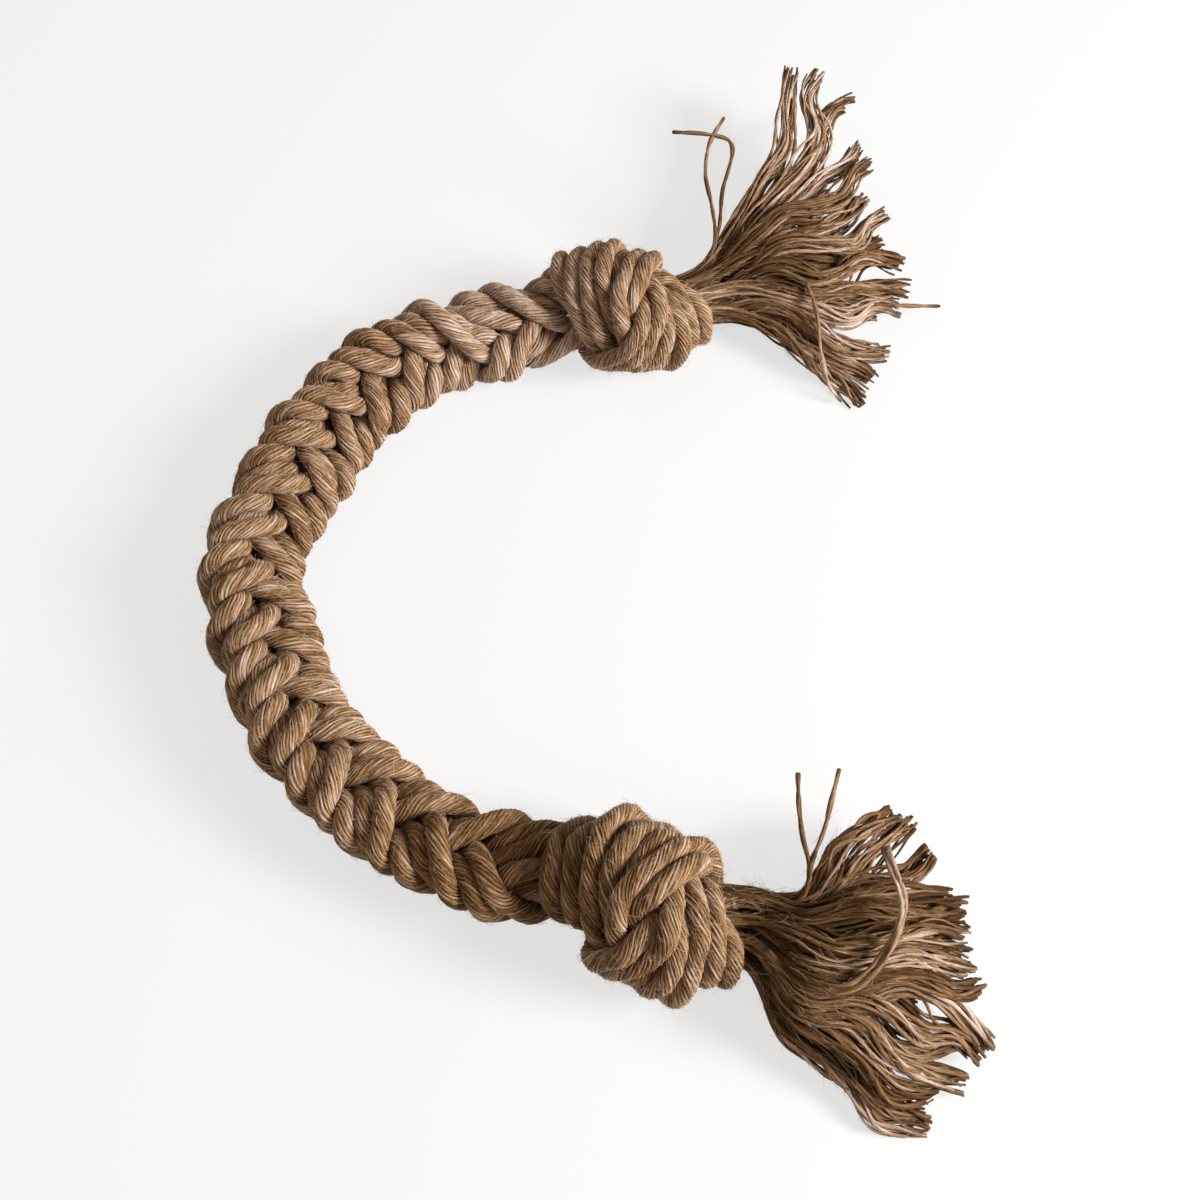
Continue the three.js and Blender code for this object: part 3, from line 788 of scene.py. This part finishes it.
def frayed_yarns(end, locks, strays, shade, seed):
    """The yarns of one tassel: their paths, tones and widths, the tassel's root and its way out."""
    dice = np.random.default_rng(seed)
    routes = [np.array(lock, float) + PHOTO_CENTRE for lock in locks]
    starts = rope_ends(end)
    root = np.mean([middle for middle, _, _ in starts], axis=0)
    out = unit(np.mean([way for _, way, _ in starts], axis=0))
    across = unit(np.cross(out, UP))
    ropes = sorted(range(len(starts)), key=lambda i: (starts[i][0] - root) @ across)
    order = sorted(range(len(routes)), key=lambda i: unit(routes[i][2] - root) @ across)
    joined = eased(ALONG, *JOINING)[:, None]
    paths = []
    tones = []
    widths = []
    for place, i in enumerate(order):
        middle, way, ring = starts[ropes[place * len(ropes) // len(order)]]
        leave = middle + LEAVE_LENGTH * unit(ROPE_WAY_SHARE * way + out)
        path, sideways = yarn_route([middle, leave, *routes[i]])
        begin_at = dice.permutation(YARNS)
        roll = dice.uniform(-LOCK_ROLL, LOCK_ROLL)
        tone = dice.normal(shade, LOCK_TONE_SPREAD)
        inward = UNDER_SPREAD * place / (len(order) - 1)
        for k in range(YARNS_PER_LOCK):
            corner = len(YARN_ACROSS) * begin_at[k % YARNS] + CROWN_PLACE
            begin = dice.choice(BEGIN_SHARES) * ring[corner]
            to_side, above, under = yarn_in_lock(k, inward, roll, dice)
            offset = to_side[:, None] * sideways + above[:, None] * SIGHT
            yarn = path + (1 - joined) * begin + joined * offset
            kept = int(YARN_PLACES * dice.uniform(*LENGTH_SHARES))
            paths.append(resampled(yarn[:kept], YARN_PLACES))
            # Yarns beneath the lock's top take painted shade
            tones.append(tone + dice.normal(0, YARN_TONE_SPREAD) - UNDER_DARKER * under)
            widths.append(dice.uniform(*YARN_WIDTHS))
    for count, tone, stray in strays:
        path, sideways = yarn_route(np.array(stray, float) + PHOTO_CENTRE)
        for k in range(count):
            spiral = around(SPIRAL_TURN * k + STRAY_TWIST * ALONG, sideways, SIGHT)
            paths.append(path + STRAY_SPACING * math.sqrt(k) * spiral)
            tones.append(dice.normal(tone, STRAY_TONE_SPREAD))
            widths.append(STRAY_WIDTH)
    paths = np.array(paths)
    paths[..., 2] = np.maximum(paths[..., 2], LOWEST_YARN)
    return paths, np.array(tones), np.array(widths), root, out


def yarn_rings(paths, tones, widths, seed):
    """Rings of twisted yarn along each path, and what the material needs at each point."""
    dice = np.random.default_rng(seed)
    count = len(paths)
    _, side, lift = carried(paths)
    length = np.stack([travelled(path) for path in paths])
    turn = 2 * np.pi * np.arange(YARN_CORNERS) / YARN_CORNERS
    twist = YARN_TWIST * length + dice.uniform(0, ABOUT_A_TURN, (count, 1))
    angle = turn[None, None] + twist[..., None]
    lobes = 1 + YARN_LOBES * np.cos(2 * turn)
    thick = YARN_RADIUS * widths[:, None]
    swell = np.stack([slow_noise(length[i], seed + i, FRAYED_WAVE) for i in range(count)])
    reach = (thick * (1 + FRAYED_SWELL * swell))[..., None] * lobes[None, None]
    reach = reach * (1 + dice.normal(0, FRAYED_ROUGH, reach.shape))
    reach[:, -1] *= TIP_WIDTH
    rings = paths[:, :, None] + reach[..., None] * around(angle, side[:, :, None], lift[:, :, None])
    streaks_at = (length + YARN_STREAKS_APART * np.arange(count)[:, None])[..., None]
    # Painted shade from the root and painted light towards the tip
    paler = TIP_PALER * eased(ALONG, *PALING) - ROOT_DARKER
    cut_end = 1 - dice.uniform(*CUT_DARKER, (count, 1)) * eased(ALONG, *CUT)
    return rings, {
        "fibre": streak_places(1, turn, streaks_at, angle.shape),
        "tint": np.broadcast_to((tones[:, None] + paler)[..., None], angle.shape),
        # Painted shade along each yarn's narrow sides, and darker cut ends
        "crown": (1 - LOBE_DARKER + LOBE_DARKER * np.cos(2 * turn)) * cut_end[..., None],
    }


# Loose fibres


def facing(count, kind, dice):
    """1 for each fibre that points ahead along its yarn and -1 for the others, in a column."""
    return np.where(dice.uniform(0, 1, (count, 1)) < kind["ahead"], 1.0, -1.0)


def fibre_sizes(count, kind, dice):
    """How far each fibre stands off, and how long it is."""
    proud = dice.uniform(0, 1, count) < kind["proud"]
    far = dice.uniform(*kind["proud_stand"], count)
    stand = np.where(proud, far, dice.uniform(*kind["stand"], count))
    return stand, dice.uniform(*kind["length"], count)


def fibre_paths(base, way, out, stand, length, kind, dice):
    """Paths of fibres that leave their bases along way, stray to a side and stand off along out."""
    u = np.linspace(0, 1, FIBRE_PLACES)[None, :, None]
    side = np.cross(way, out)
    count = len(base)
    lean, curl = dice.normal(0, kind["stray"], (2, count, 1, 1))
    tucked = dice.uniform(0, 1, (count, 1, 1)) < TUCKED_FIBRES
    rise = np.where(tucked, np.sin(np.pi * u), u**RISE_CURVE)
    stand, length = stand[:, None, None], length[:, None, None]
    run = length * (u * way[:, None] + (lean * u + curl * u**2) * side[:, None])
    off = stand * rise - kind["hug"] * (length * u) ** 2 - FIBRE_DEPTH * (1 - u)
    return base[:, None] + run + off * out[:, None]


def fibre_rings(paths, tones, dice):
    """Thin tubes along the paths, and what the material needs at each point."""
    paths[..., 2] = np.maximum(paths[..., 2], LOWEST_FIBRE)
    count = len(paths)
    _, side, lift = carried(paths)
    turn = 2 * np.pi * np.arange(FIBRE_CORNERS) / FIBRE_CORNERS
    thick = FIBRE_RADIUS * dice.uniform(*FIBRE_WIDTHS, (count, 1))
    thick = thick * np.linspace(1, FIBRE_TIP_WIDTH, FIBRE_PLACES)
    out = around(turn, side[:, :, None], lift[:, :, None])
    rings = paths[:, :, None] + thick[..., None, None] * out
    shape = rings.shape[:3]
    apart = np.broadcast_to((FIBRE_STREAKS_APART * np.arange(count))[:, None, None], shape)
    along = np.broadcast_to(np.arange(FIBRE_PLACES)[:, None], shape)
    fibre = np.stack([apart, np.zeros(shape), along], axis=-1)
    tint = np.broadcast_to((tones + dice.uniform(*FIBRE_TONES, count))[:, None, None], shape)
    return rings, {"fibre": fibre, "tint": tint, "crown": np.ones(shape)}


def rope_fuzz(made, first, last, dice):
    """Paths and tones of the fibres that stand off one stretch of rope."""
    ring, corner = np.nonzero(made["free"][first:last])
    chosen = dice.permutation(len(ring))[: int(ROPE_FUZZ_PER_POINT * len(ring))]
    at = (ring[chosen] + first, corner[chosen])
    count = len(chosen)
    way = facing(count, ROPE_FUZZ, dice) * made["along_yarn"][at]
    stand, length = fibre_sizes(count, ROPE_FUZZ, dice)
    base, out = made["rings"][at], made["out"][at]
    return fibre_paths(base, way, out, stand, length, ROPE_FUZZ, dice), made["tint"][at]


def tassel_fuzz(paths, tones, count, dice):
    """Paths and tones of the fibres that have come loose from the yarns of a tassel."""
    along, side, lift = carried(paths)
    yarn = dice.integers(0, len(paths), count)
    place = dice.integers(TASSEL_FUZZ_FROM, TASSEL_FUZZ_TO, count)
    angle = dice.uniform(0, 2 * np.pi, count)
    out = around(angle, side[yarn, place], lift[yarn, place])
    stand, length = fibre_sizes(count, TASSEL_FUZZ, dice)
    base = paths[yarn, place] + TASSEL_FUZZ_ROOT * out
    way = facing(count, TASSEL_FUZZ, dice) * along[yarn, place]
    return fibre_paths(base, way, out, stand, length, TASSEL_FUZZ, dice), tones[yarn]


fuzz_dice = np.random.default_rng(FUZZ_SEED)
for strand in STRANDS:
    for k, hinge in enumerate(HINGES):
        keys = [(strand, rope) for rope in ROPES]
        fuzz = [rope_fuzz(surfaces[key], cuts[key][k], cuts[key][k + 1], fuzz_dice) for key in keys]
        paths, tones = (np.concatenate(part) for part in zip(*fuzz))
        rings, values = fibre_rings(paths, tones, fuzz_dice)
        piece = add_piece(f"strand_{strand}_fibres_{hinge}", rings, fuzz_jute, values)
        bend(piece)


# Each tassel's end of the toy, its yarns and its tone: the bottom tassel is toned darker than the
# top one, partly painted shade like the ropes' lower stretch
TASSELS = (
    ("bottom", BOTTOM_LOCKS, BOTTOM_STRAYS, 0.0),
    ("top", TOP_LOCKS, TOP_STRAYS, 0.35),
)
for end, locks, strays, shade in TASSELS:
    seed = LOCK_SEED + len(end)
    paths, tones, widths, root, out = frayed_yarns(end, locks, strays, shade, seed)
    rings, values = yarn_rings(paths, tones, widths, YARN_SEED + len(end))
    yarns = add_piece(f"{end}_tassel_yarns", rings, yarn_jute, values)
    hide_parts(f"{end}_tassel")
    loose, loose_tones = tassel_fuzz(paths, tones, TASSEL_FUZZ_COUNT, fuzz_dice)
    rings, values = fibre_rings(loose, loose_tones, fuzz_dice)
    fuzz = add_piece(f"{end}_tassel_fibres", rings, fuzz_jute, values)
    for piece in (yarns, fuzz):
        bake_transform(piece)


# Floor, light and camera


def floor():
    """A pale floor, which the camera sees as nearly white."""
    n = Nodes(bpy.data.materials.new("pale_floor"))
    n.set(n.shader, "Base_Color", FLOOR_COLOUR)
    n.set(n.shader, "Roughness", 0.9)
    n.set(n.shader, "Specular_IOR_Level", 0.0)
    n.seen_white(FLOOR_WHITE)
    half = FLOOR_HALF / MM
    corners = [(-half, -half, 0), (half, -half, 0), (half, half, 0), (-half, half, 0)]
    mesh = bpy.data.meshes.new("floor")
    mesh.from_pydata(corners, [], [(0, 1, 2, 3)])
    mesh.materials.append(n.made)
    add_object("floor", mesh)


def aim(made, back):
    """Turns a lamp or camera so that it looks away from back."""
    made.rotation_mode = "QUATERNION"
    made.rotation_quaternion = Vector(back).to_track_quat("Z", "Y")


def lamp(name, place, size, power):
    """A square lamp that shines on the middle of the toy."""
    data = bpy.data.lights.new(name, "AREA")
    data.size = size / MM
    data.energy = power
    made = add_object(name, data)
    made.location = Vector(place) / MM
    aim(made, place)


def camera():
    """The view of the photograph."""
    back = Vector((0, -math.cos(CAMERA_TILT), math.sin(CAMERA_TILT)))
    data = bpy.data.cameras.new("photo_view")
    data.lens = CAMERA_LENS
    data.sensor_width = CAMERA_SENSOR
    data.clip_start = CAMERA_NEAREST / MM
    made = add_object("photo_view", data)
    made.location = Vector(CAMERA_AIM / MM) + back * (CAMERA_DISTANCE / MM)
    aim(made, back)
    bpy.context.scene.camera = made


def world():
    """Warm light from all sides, which the camera sees as white."""
    n = Nodes(bpy.data.worlds.new("studio"))
    n.set(n.shader, "Color", SKY_COLOUR)
    n.set(n.shader, "Strength", SKY_STRENGTH)
    n.seen_white(1.0)
    bpy.context.scene.world = n.made


floor()
for name, settings in LAMPS.items():
    lamp(name, **settings)
camera()
world()
bpy.context.scene.view_settings.view_transform = "Standard"
